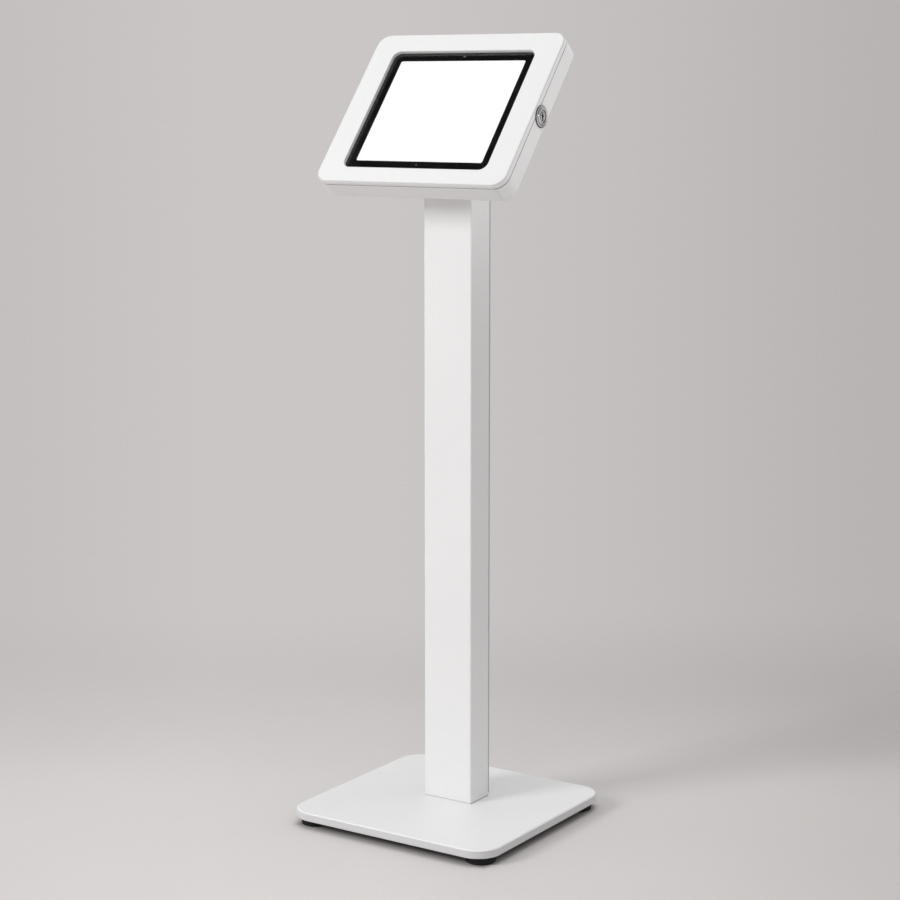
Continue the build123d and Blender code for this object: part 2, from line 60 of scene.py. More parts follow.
# ------------------------------------------------------------------ camera
YAW, PITCH = math.radians(33.491), math.radians(8.321)
FOCAL_PX, FRAME_PX, AXIS_ROW = 2154.2, 900.0, 405.0
fwd_h = Vector((-math.sin(YAW), math.cos(YAW), 0.0))
right = Vector((math.cos(YAW), math.sin(YAW), 0.0))
zup = Vector((0.0, 0.0, 1.0))
cam_data = bpy.data.cameras.new("camera")
cam = bpy.data.objects.new("camera", cam_data)
scene.collection.objects.link(cam)
forward = fwd_h * math.cos(PITCH) - zup * math.sin(PITCH)
cam_up = fwd_h * math.sin(PITCH) + zup * math.cos(PITCH)
cam.matrix_world = Matrix((
    (right.x, cam_up.x, -forward.x, 0.0),
    (right.y, cam_up.y, -forward.y, 0.0),
    (right.z, cam_up.z, -forward.z, 0.0),
    (0.0, 0.0, 0.0, 1.0)))
cam.location = right * 0.00251 - fwd_h * 3.00034 + zup * 1.0387
cam_data.sensor_fit = "HORIZONTAL"
cam_data.sensor_width = 36.0
cam_data.lens = FOCAL_PX / FRAME_PX * 36.0
cam_data.shift_x = 0.4 / FRAME_PX
cam_data.shift_y = (AXIS_ROW - FRAME_PX / 2) / FRAME_PX
cam_data.clip_start, cam_data.clip_end = 0.05, 200.0
scene.camera = cam

scene.view_settings.view_transform = "Standard"
scene.view_settings.look = "None"
scene.view_settings.exposure = 0.0
scene.view_settings.gamma = 1.0


# ------------------------------------------------------------------ node helpers
class Shader:
    """A material with a Principled surface and short calls for its texture nodes."""

    def __init__(self, name):
        self.m = bpy.data.materials.new(name)
        self.m.use_nodes = True
        self.t = self.m.node_tree
        self.t.nodes.clear()
        self.out = self.t.nodes.new("ShaderNodeOutputMaterial")
        self.bsdf = self.t.nodes.new("ShaderNodeBsdfPrincipled")
        self.t.links.new(self.bsdf.outputs[0], self.out.inputs["Surface"])
        self.obj = self.t.nodes.new("ShaderNodeTexCoord").outputs["Object"]

    def put(self, socket, value):
        if isinstance(value, bpy.types.NodeSocket):
            self.t.links.new(value, socket)
        else:
            socket.default_value = value

    def set(self, **values):
        for k, v in values.items():
            self.put(self.bsdf.inputs[k.replace("_", " ")], v)
        return self

    def scaled(self, sx, sy, sz, rot=(0, 0, 0), loc=(0, 0, 0)):
        n = self.t.nodes.new("ShaderNodeMapping")
        n.inputs["Scale"].default_value = (sx, sy, sz)
        n.inputs["Rotation"].default_value = rot
        n.inputs["Location"].default_value = loc
        self.t.links.new(self.obj, n.inputs["Vector"])
        return n.outputs[0]

    def noise(self, scale, detail=2.0, rough=0.5, vector=None, distort=0.0):
        n = self.t.nodes.new("ShaderNodeTexNoise")
        n.inputs["Scale"].default_value = scale
        n.inputs["Detail"].default_value = detail
        n.inputs["Roughness"].default_value = rough
        n.inputs["Distortion"].default_value = distort
        self.t.links.new(vector if vector is not None else self.obj, n.inputs["Vector"])
        return n.outputs["Fac"]

    def voronoi(self, scale, vector=None, feature="F1"):
        n = self.t.nodes.new("ShaderNodeTexVoronoi")
        n.feature = feature
        n.inputs["Scale"].default_value = scale
        self.t.links.new(vector if vector is not None else self.obj, n.inputs["Vector"])
        return n.outputs["Distance"]

    def math(self, op, a, b=0.0, clamp=False):
        n = self.t.nodes.new("ShaderNodeMath")
        n.operation = op
        n.use_clamp = clamp
        self.put(n.inputs[0], a)
        self.put(n.inputs[1], b)
        return n.outputs[0]

    def vmath(self, op, a, b=None, out=0):
        n = self.t.nodes.new("ShaderNodeVectorMath")
        n.operation = op
        self.put(n.inputs[0], a)
        if b is not None:
            self.put(n.inputs[1], b)
        return n.outputs[out]

    def span(self, value, a, b, c, d, smooth=False):
        n = self.t.nodes.new("ShaderNodeMapRange")
        n.interpolation_type = "SMOOTHSTEP" if smooth else "LINEAR"
        for i, v in enumerate((a, b, c, d)):
            n.inputs[i + 1].default_value = v
        self.t.links.new(value, n.inputs[0])
        return n.outputs[0]

    def ramp(self, fac, *stops):
        n = self.t.nodes.new("ShaderNodeValToRGB")
        el = n.color_ramp.elements
        while len(el) < len(stops):
            el.new(0.5)
        for e, (pos, col) in zip(el, stops):
            e.position = pos
            e.color = (*col, 1.0)
        self.t.links.new(fac, n.inputs[0])
        return n.outputs[0]

    def mix(self, fac, a, b):
        n = self.t.nodes.new("ShaderNodeMix")
        n.data_type = "RGBA"
        self.put(n.inputs[0], fac)
        for s, v in ((n.inputs[6], a), (n.inputs[7], b)):
            self.put(s, (*v, 1.0) if isinstance(v, tuple) else v)
        return n.outputs[2]

    def split(self, vector):
        n = self.t.nodes.new("ShaderNodeSeparateXYZ")
        self.t.links.new(vector, n.inputs[0])
        return n.outputs

    def bump(self, height, strength, distance, normal=None):
        n = self.t.nodes.new("ShaderNodeBump")
        n.inputs["Strength"].default_value = strength
        n.inputs["Distance"].default_value = distance
        self.t.links.new(height, n.inputs["Height"])
        if normal is not None:
            self.t.links.new(normal, n.inputs["Normal"])
        return n.outputs[0]

    def round_edges(self, radius):
        """Normal that softens sharp edges, and a mask that is 1 on them."""
        n = self.t.nodes.new("ShaderNodeBevel")
        n.samples = 4
        n.inputs["Radius"].default_value = radius
        g = self.t.nodes.new("ShaderNodeNewGeometry")
        d = self.vmath("DOT_PRODUCT", n.outputs[0], g.outputs["Normal"], out=1)
        return n.outputs[0], self.span(d, 0.995, 0.88, 0.0, 1.0, smooth=True)


# ------------------------------------------------------------------ finishes
FACE_N = (0.0, -math.cos(TILT), math.sin(TILT))


def powder_white(name, seam=False, underside_shade=False, foot=False, tone=0.0):
    """Satin powder coat. seam: painted shade in the gap between cover and tray, on the tray's lower side and on the
    cover's rolled edge;
    primer: painted shade on the underside of the plate and on its cut edge; foot: painted shade where the column
    meets the plate and in the seam to its rear cover."""
    s = Shader(name)
    soft, edge = s.round_edges(0.0007)
    peel = s.noise(330.0, 1.0, 0.45)
    grain = s.noise(1500.0, 2.0, 0.6)
    cloud = s.noise(5.0, 3.0, 0.5)
    speck = s.noise(900.0, 1.0, 0.4, distort=0.4)
    base = s.ramp(cloud, (0.30, (0.842 + tone, 0.843 + tone, 0.846 + tone)),
                  (0.70, (0.872 + tone, 0.871 + tone, 0.870 + tone)))
    flecks = s.span(speck, 0.70, 0.78, 0.0, 0.10, smooth=True)
    base = s.mix(flecks, base, (0.70, 0.70, 0.69))
    # painted highlight: the rounded edges are painted lighter
    base = s.mix(s.math("MULTIPLY", edge, 0.35), base, (0.90, 0.90, 0.895))
    if seam:
        # painted shade: the coat inside the gap between cover and tray is painted dark grey
        depth = s.vmath("DOT_PRODUCT", s.vmath("SUBTRACT", s.obj, tuple(head(0, 0, 0))), FACE_N, out=1)
        inside = s.math("MULTIPLY", s.span(depth, -0.00886, -0.00882, 0.0, 1.0),
                        s.span(depth, -0.00798, -0.00802, 0.0, 1.0))
        # painted shade: the tray's lower side is painted greyer
        g = s.t.nodes.new("ShaderNodeNewGeometry")
        under = s.span(s.split(g.outputs["Normal"])[2], -0.69, -0.75, 0.0, 1.0, smooth=True)
        base = s.mix(under, base, s.vmath("MULTIPLY", base, (0.875, 0.872, 0.872)))
        # painted shade: so is the rolled edge between the cover's face and its rim, as a grey band
        facing = s.vmath("DOT_PRODUCT", g.outputs["Normal"], FACE_N, out=1)
        roll_shade = s.math("MULTIPLY", s.span(facing, 0.22, 0.50, 0.0, 1.0), s.span(facing, 0.86, 0.97, 1.0, 0.0))
        base = s.mix(roll_shade, base, s.vmath("MULTIPLY", base, (0.74, 0.74, 0.74)))
        # the gap's painted shade
        base = s.mix(s.math("MULTIPLY", inside, 0.93), base, (0.10, 0.10, 0.098))
    if underside_shade:
        # painted shade: the underside of the plate is painted nearly black
        z = s.split(s.obj)[2]
        down = s.span(z, 0.01185, 0.01178, 0.0, 1.0)
        # painted shade: the cut edge is painted greyer than the two faces
        g = s.t.nodes.new("ShaderNodeNewGeometry")
        lean = s.math("ABSOLUTE", s.split(g.outputs["Normal"])[2])
        side_shade = s.span(lean, 0.20, 0.45, 1.0, 0.0, smooth=True)
        base = s.mix(side_shade, base, s.vmath("MULTIPLY", base, (0.745, 0.745, 0.750)))
        base = s.mix(s.math("MULTIPLY", down, 0.92), base, (0.045, 0.045, 0.046))
    if foot:
        # painted shade: a dark band where the column meets the plate, darker on the column's sides
        xyz = s.split(s.obj)
        g = s.t.nodes.new("ShaderNodeNewGeometry")
        side = s.span(s.math("ABSOLUTE", s.split(g.outputs["Normal"])[0]), 0.3, 0.8, 0.50, 0.88)
        line = s.math("MULTIPLY", s.span(xyz[2], 0.02515, 0.02485, 0.0, 1.0), side)
        base = s.mix(line, base, (0.20, 0.20, 0.20))
        # painted shade also in the seam between the folded column and its rear cover
        joint_shade = s.math("MULTIPLY", s.span(xyz[1], 0.0458, 0.0463, 0.0, 1.0), s.span(xyz[1], 0.0477, 0.0481, 1.0, 0.0))
        base = s.mix(s.math("MULTIPLY", joint_shade, 0.40), base, (0.22, 0.22, 0.218))
    height = s.math("ADD", s.math("MULTIPLY", peel, 0.75), s.math("MULTIPLY", grain, 0.25))
    rough = s.math("SUBTRACT", s.span(s.noise(60.0, 3.0, 0.55), 0.3, 0.7, 0.36, 0.46),
                   s.math("MULTIPLY", edge, 0.06))
    return s.set(Base_Color=base, Roughness=rough, Specular_IOR_Level=0.5, IOR=1.5,
                 Normal=s.bump(height, 0.22, 0.00025, soft)).m


def zinc(name):
    s = Shader(name)
    soft, edge = s.round_edges(0.00025)
    cells = s.voronoi(420.0)
    haze = s.noise(45.0, 3.0, 0.6)
    tint = s.ramp(haze, (0.30, (0.56, 0.57, 0.585)), (0.52, (0.62, 0.62, 0.61)), (0.72, (0.60, 0.585, 0.54)))
    tint = s.mix(s.math("MULTIPLY", edge, 0.5), tint, (0.74, 0.74, 0.73))
    rough = s.math("ADD", s.span(haze, 0.3, 0.7, 0.24, 0.36), s.math("MULTIPLY", cells, 0.08))
    fine = s.noise(2600.0, 2.0, 0.6)
    return s.set(Base_Color=tint, Metallic=1.0, Roughness=rough,
                 Normal=s.bump(fine, 0.10, 0.00008, soft)).m


LOCK = head(155.0, 130.3, -18.5)


def turned(name, col_a, col_b, rough_a, rough_b, pitch, slope, shade_rings=(), painted_sheen=0.0, inside=None):
    """Lathe-turned metal round the lock's axis, with rings of painted shade at its steps (r0, r1 in mm) and a painted
    fan of highlights and shade.
    slope: lean of the flanks of the fine tool marks, which are a pitch apart.
    inside: x in mm below which the inside of the keyway is painted dark as shade."""
    s = Shader(name)
    soft, edge = s.round_edges(0.00022)
    off = s.vmath("SUBTRACT", s.obj, (0.0, LOCK.y, LOCK.z))
    flat = s.vmath("MULTIPLY", off, (0.0, 1.0, 1.0))
    r = s.vmath("LENGTH", flat, out=1)
    rings = s.math("SINE", s.math("MULTIPLY", r, 2 * math.pi / pitch))
    smear = s.noise(240.0, 3.0, 0.6)
    col = s.ramp(smear, (0.32, col_a), (0.68, col_b))
    yz = s.split(flat)
    turn = s.math("ARCTAN2", yz[2], yz[1])
    # painted highlights and shade: the colour is lightened and darkened in a fan round the axis
    painted_fan = s.math("ADD", s.math("COSINE", s.math("ADD", s.math("MULTIPLY", turn, 2.0), -0.6)),
                 s.math("MULTIPLY", s.math("COSINE", s.math("ADD", s.math("MULTIPLY", turn, 3.0), 1.1)), 0.5))
    gain = s.span(painted_fan, -1.0, 1.0, 1.0 - painted_sheen, 1.0 + 0.35 * painted_sheen)
    bright = s.vmath("SCALE", col)
    s.put(bright.node.inputs["Scale"], gain)
    # painted highlight: the rounded edges are painted brighter
    col = s.mix(s.math("MULTIPLY", edge, 0.6), bright, tuple(min(1.0, c * 1.35) for c in col_b))
    # painted shade: dark rings at the steps and recess walls
    for r0, r1 in shade_rings:
        m = s.math("MULTIPLY", s.span(r, (r0 - 0.12) * MM, r0 * MM, 0.0, 1.0),
                   s.span(r, r1 * MM, (r1 + 0.12) * MM, 1.0, 0.0))
        col = s.mix(s.math("MULTIPLY", m, 0.92), col, (0.035, 0.035, 0.036))
    # painted shade: the keyway's inside is painted nearly black
    if inside is not None:
        deep = s.span(s.split(s.obj)[0], inside * MM, (inside - 0.05) * MM, 0.0, 1.0)
        col = s.mix(s.math("MULTIPLY", deep, 0.96), col, (0.012, 0.012, 0.012))
    turn_to = s.t.nodes.new("ShaderNodeVectorTransform")
    turn_to.vector_type, turn_to.convert_from, turn_to.convert_to = "VECTOR", "OBJECT", "WORLD"
    s.put(turn_to.inputs[0], s.vmath("NORMALIZE", flat))
    lean = s.vmath("SCALE", turn_to.outputs[0])
    s.put(lean.node.inputs["Scale"], s.math("MULTIPLY", rings, slope))
    return s.set(Base_Color=col, Metallic=1.0, Roughness=s.span(smear, 0.3, 0.7, rough_a, rough_b),
                 Normal=s.vmath("NORMALIZE", s.vmath("ADD", soft, lean))).m


def rubber(name):
    s = Shader(name)
    soft, edge = s.round_edges(0.0005)
    fine = s.noise(1700.0, 3.0, 0.65)
    dust = s.noise(160.0, 4.0, 0.6)
    low = s.span(s.split(s.obj)[2], 0.0, 0.004, 1.0, 0.0)
    veil = s.math("MULTIPLY", s.span(dust, 0.45, 0.75, 0.0, 0.35), s.math("ADD", low, 0.25), clamp=True)
    col = s.mix(veil, s.ramp(dust, (0.3, (0.009, 0.009, 0.009)), (0.7, (0.015, 0.015, 0.016))), (0.05, 0.049, 0.046))
    s.bsdf.inputs["Specular IOR Level"].default_value = 0.20
    return s.set(Base_Color=col, Roughness=s.span(dust, 0.3, 0.7, 0.52, 0.68),
                 Normal=s.bump(fine, 0.30, 0.00012, soft)).m


def plastic_black(name):
    s = Shader(name)
    soft, edge = s.round_edges(0.0004)
    tex = s.voronoi(1900.0)
    tone = s.noise(70.0, 2.0)
    col = s.ramp(tone, (0.3, (0.022, 0.022, 0.023)), (0.7, (0.036, 0.036, 0.037)))
    col = s.mix(s.math("MULTIPLY", edge, 0.3), col, (0.075, 0.075, 0.075))
    return s.set(Base_Color=col, Roughness=s.span(tone, 0.3, 0.7, 0.38, 0.48),
                 Normal=s.bump(tex, 0.25, 0.00010, soft)).m


def aluminium(name):
    s = Shader(name)
    soft, edge = s.round_edges(0.0003)
    blast = s.noise(3200.0, 2.0, 0.7)
    tone = s.noise(25.0, 2.0)
    col = s.ramp(tone, (0.3, (0.50, 0.51, 0.53)), (0.7, (0.55, 0.56, 0.575)))
    return s.set(Base_Color=s.mix(s.math("MULTIPLY", edge, 0.4), col, (0.70, 0.71, 0.72)), Metallic=1.0,
                 Roughness=s.span(blast, 0.3, 0.7, 0.34, 0.44), Normal=s.bump(blast, 0.12, 0.00006, soft)).m


def screen_glass(name):
    s = Shader(name)
    wipe = s.noise(14.0, 4.0, 0.6, vector=s.scaled(1.0, 2.2, 1.6, rot=(0.5, 0.3, 0.2)))
    prints = s.noise(900.0, 2.0, 0.6, distort=1.2)
    mask = s.span(wipe, 0.58, 0.72, 0.0, 1.0, smooth=True)
    rough = s.math("ADD", s.math("MULTIPLY", s.math("MULTIPLY", mask, prints), 0.07), 0.015)
    col = s.ramp(wipe, (0.3, (0.985, 0.99, 0.99)), (0.7, (0.995, 0.997, 1.0)))
    return s.set(Base_Color=col, Roughness=rough, Transmission_Weight=1.0, IOR=1.40).m


def bezel_ink(name):
    s = Shader(name)
    fleck = s.noise(1200.0, 2.0)
    col = s.ramp(fleck, (0.35, (0.006, 0.006, 0.0065)), (0.65, (0.0095, 0.0095, 0.010)))
    s.bsdf.inputs["Specular IOR Level"].default_value = 0.15
    return s.set(Base_Color=col, Roughness=s.span(fleck, 0.3, 0.7, 0.30, 0.42),
                 Normal=s.bump(fleck, 0.1, 0.00002)).m


def lit_panel(name):
    """Lit, blank white panel: a faint cell grid and a backlight that falls off a little to the edges."""
    s = Shader(name)
    c = head(0, 129.0, 0)
    u = s.split(s.obj)[0]
    rel = s.vmath("SUBTRACT", s.obj, (0.0, c.y, c.z))
    v = s.vmath("DOT_PRODUCT", rel, (0.0, math.sin(TILT), math.cos(TILT)), out=1)
    gu = s.math("SINE", s.math("MULTIPLY", u, 2 * math.pi / 0.00032))
    gv = s.math("SINE", s.math("MULTIPLY", v, 2 * math.pi / 0.00032))
    grid = s.math("MULTIPLY", s.math("MULTIPLY", gu, gv), 0.012)
    fall = s.math("ADD", s.math("POWER", s.math("ABSOLUTE", s.math("MULTIPLY", u, 9.4)), 4.0),
                  s.math("POWER", s.math("ABSOLUTE", s.math("MULTIPLY", v, 11.2)), 4.0))
    level = s.math("SUBTRACT", s.math("ADD", grid, 0.985), s.math("MULTIPLY", fall, 0.015))
    col = s.ramp(level, (0.90, (0.93, 0.94, 0.95)), (1.0, (1.0, 1.0, 1.0)))
    s.set(Base_Color=s.ramp(level, (0.90, (0.020, 0.021, 0.022)), (1.0, (0.030, 0.030, 0.032))),
          Roughness=0.35, Emission_Color=col)
    s.bsdf.inputs["Emission Strength"].default_value = 1.10
    return s.m


def lens_black(name):
    s = Shader(name)
    c = s.noise(2500.0, 2.0)
    col = s.ramp(c, (0.3, (0.21, 0.213, 0.225)), (0.7, (0.29, 0.29, 0.305)))
    return s.set(Base_Color=col, Roughness=s.span(c, 0.3, 0.7, 0.05, 0.15), Coat_Weight=0.6).m


def pack_grey(name):
    s = Shader(name)
    c = s.noise(40.0, 3.0)
    col = s.ramp(c, (0.3, (0.10, 0.10, 0.105)), (0.7, (0.15, 0.15, 0.155)))
    return s.set(Base_Color=col, Roughness=s.span(c, 0.3, 0.7, 0.45, 0.6),
                 Normal=s.bump(s.noise(800.0, 2.0), 0.2, 0.0001)).m


finish_of = {
    "powder_white": powder_white("powder_white"),
    "zinc_steel": zinc("zinc_steel"),
    "lock_chrome": turned("lock_chrome", (0.82, 0.825, 0.83), (0.92, 0.92, 0.92), 0.14, 0.22, 0.00045, 0.045,
                          ((14.7, 16.5), (11.45, 11.9), (8.3, 8.7)), 0.40),
    "lock_plug_steel": turned("lock_plug_steel", (0.60, 0.60, 0.595), (0.74, 0.74, 0.73), 0.24, 0.36, 0.00035, 0.040,
                              ((5.85, 6.6),), 0.30, 157.36),
    "black_rubber": rubber("black_rubber"),
    "black_plastic": plastic_black("black_plastic"),
    "tablet_aluminium": aluminium("tablet_aluminium"),
    "tablet_glass": screen_glass("tablet_glass"),
    "bezel_black": bezel_ink("bezel_black"),
    "display_white": lit_panel("display_white"),
    "battery_core": pack_grey("battery_core"),
}
lens = lens_black("lens_black")
# copies of the one white powder coat: the head's is painted a little darker and the base's a little lighter, as
# painted shade and light
powder_head = powder_white("powder_white_head", seam=True, tone=-0.012)
powder_base = powder_white("powder_white_base", underside_shade=True, tone=0.03)
powder_column = powder_white("powder_white_column", foot=True)
for part in frame["record"]["subparts"]:
    o = nodes[part["node"]]
    m = finish_of[part["material_slot"]]
    if part["node"] in ("tablet_camera", "tablet_sensor"):
        m = lens
    if part["node"] in ("front_cover", "rear_tray"):
        m = powder_head
    if part["node"] == "base_plate":
        m = powder_base
    if part["node"] in ("column", "column_rear_cover"):
        m = powder_column
    o.data.materials.clear()
    o.data.materials.append(m)


# ------------------------------------------------------------------ made pieces
def add_mesh(name, verts, faces, body, slot, replaces=(), smooth_angle=40.0):
    me = bpy.data.meshes.new(name)
    me.from_pydata(verts, [], faces)
    me.validate()
    me.update()
    me.polygons.foreach_set("use_smooth", [True] * len(me.polygons))
    me.set_sharp_from_angle(angle=math.radians(smooth_angle))
    ob = bpy.data.objects.new(name, me)
    scene.collection.objects.link(ob)
    me.materials.append(finish_of[slot])
    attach(ob, body)
    if replaces:
        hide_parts(*replaces)
    return ob


def arc(cx, cz, r, a0, a1, n):
    return [(cx + r * math.cos(math.radians(a0 + (a1 - a0) * i / n)),
             cz + r * math.sin(math.radians(a0 + (a1 - a0) * i / n))) for i in range(n + 1)]


def lathe(profile, centre, steps=96):
    """Closed solid of revolution. The profile runs from axis to axis, in mm (r, z)."""
    verts, faces, rings = [], [], []
    for r, z in profile:
        if r < 1e-6:
            rings.append([len(verts)])
            verts.append(((centre[0]) * MM, (centre[1]) * MM, z * MM))
        else:
            rings.append(list(range(len(verts), len(verts) + steps)))
            for k in range(steps):
                a = 2 * math.pi * k / steps
                verts.append(((centre[0] + r * math.cos(a)) * MM, (centre[1] + r * math.sin(a)) * MM, z * MM))
    for ra, rb in zip(rings, rings[1:]):
        for k in range(steps):
            k2 = (k + 1) % steps
            if len(ra) == 1 and len(rb) == 1:
                continue
            if len(ra) == 1:
                faces.append((ra[0], rb[k2], rb[k]))
            elif len(rb) == 1:
                faces.append((ra[k], ra[k2], rb[0]))
            else:
                faces.append((ra[k], ra[k2], rb[k2], rb[k]))
    return verts, faces


FEET = {"front_left": (-140.0, -130.0), "back_left": (-140.0, 130.0),
        "front_right": (140.0, -130.0), "back_right": (140.0, 130.0)}


def foot_profile():
    p = [(0.0, 0.9), (5.0, 0.9), (5.6, 0.45), (6.2, 0.0)]
    for g in (8.4, 11.2, 14.0, 16.8):    # grip grooves in the sole
        p += [(g, 0.0), (g + 0.25, 0.55), (g + 0.95, 0.55), (g + 1.2, 0.0)]
    p += [(19.4, 0.0)] + arc(19.55, 1.35, 1.35, -84, -6, 7)
    p += [(20.93, 2.5), (20.6, 2.85), (20.6, 3.15), (20.93, 3.5)]     # parting groove
    p += [(20.96, 10.5)] + arc(20.1, 10.6, 0.86, 0, 84, 6)
    p += [(17.6, 11.48), (10.6, 11.48), (10.1, 11.1), (9.5, 10.9), (4.6, 10.9), (3.99, 10.5)]
    p += [(3.99, 4.02), (9.04, 4.02), (9.04, 1.98), (0.0, 1.98)]
    return p


def threaded(centre, r_major, r_minor, pitch, z0, z1, collar, steps=48):
    """Stud with a rolled thread from z0 to z1 and, below it, a round collar (r, z0, z1)."""
    rc, c0, c1 = collar
    rows = []
    for r, z in ((rc - 0.5, c0), (rc, c0 + 0.4), (rc, c1 - 0.4), (rc - 0.5, c1), (r_minor + 0.25, c1)):
        rows.append([(r, z)] * steps)
    n = int((z1 - z0) / (pitch / 8))
    for j in range(n + 1):
        z = z0 + (z1 - z0) * j / n
        row = []
        for k in range(steps):
            ph = (z / pitch - k / steps) % 1.0
            tri = 1 - abs(2 * ph - 1)
            crest = min(1.0, max(0.0, (tri - 0.12) / 0.74))
            run = min(1.0, (z1 - z) / (pitch * 0.9), (z - z0) / (pitch * 0.9) + 0.05)
            row.append((r_minor + (r_major - r_minor) * crest * max(0.0, run), z))
        rows.append(row)
    rows.append([(r_minor - 0.5, z1 + 0.001)] * steps)
    verts, faces = [], []
    for row in rows:
        for k, (r, z) in enumerate(row):
            a = 2 * math.pi * k / steps
            verts.append(((centre[0] + r * math.cos(a)) * MM, (centre[1] + r * math.sin(a)) * MM, z * MM))
    for j in range(len(rows) - 1):
        for k in range(steps):
            k2 = (k + 1) % steps
            a, b = j * steps, (j + 1) * steps
            faces.append((a + k, a + k2, b + k2, b + k))
    faces.append(tuple(reversed(range(steps))))
    last = (len(rows) - 1) * steps
    faces.append(tuple(last + k for k in range(steps)))
    return verts, faces


for name, c in FEET.items():
    v, f = lathe(foot_profile(), c)
    add_mesh("rubber_foot_" + name, v, f, "foot_" + name, "black_rubber", ("foot_pad_" + name,))
    v, f = threaded(c, 3.92, 3.30, 1.25, 4.3, 21.89, (9.0, 2.0, 4.0))
    add_mesh("levelling_screw_" + name, v, f, "foot_" + name, "zinc_steel", ("foot_stud_" + name,), 50.0)


# ------------------------------------------------------------------ stage
def place(s):
    """Distance to the right of and behind the stand, and the angle-like ratio of the two."""
    flat = s.vmath("MULTIPLY", s.obj, (1.0, 1.0, 0.0))
    side = s.vmath("DOT_PRODUCT", flat, tuple(right), out=1)
    back = s.vmath("DOT_PRODUCT", flat, tuple(fwd_h), out=1)
    away = s.math("ADD", back, 3.0)
    away = s.math("SQRT", s.math("ADD", s.math("MULTIPLY", away, away), 1.0))
    return side, back, s.math("DIVIDE", side, away)


def grey(v):
    """Slightly warm grey of a screen value (0 to 255)."""
    lin = [((c / 255.0 + 0.055) / 1.055) ** 2.4 for c in (v, v - 4.0, v - 5.0)]
    return tuple(lin)


def backdrop_tone(s, ratio):
    """Pale grey, painted with light that falls off to both sides, more to the right."""
    pos = s.span(ratio, -0.30, 0.30, 0.0, 1.0)
    stops = ((-0.30, 189), (-0.11, 202), (-0.03, 202), (0.08, 195), (0.19, 184.5), (0.30, 180.5))
    tone = s.ramp(pos, *[((r + 0.30) / 0.60, grey(v)) for r, v in stops])
    # even grey on the side that the main camera looks away from
    flat = s.vmath("MULTIPLY", s.obj, (1.0, 1.0, 0.0))
    back = s.vmath("DOT_PRODUCT", flat, tuple(fwd_h), out=1)
    reach = s.math("SQRT", s.math("ADD", s.vmath("DOT_PRODUCT", flat, flat, out=1), 6.25))
    return s.mix(s.span(s.math("DIVIDE", back, reach), -0.08, -0.60, 0.0, 1.0, smooth=True), tone, grey(194))


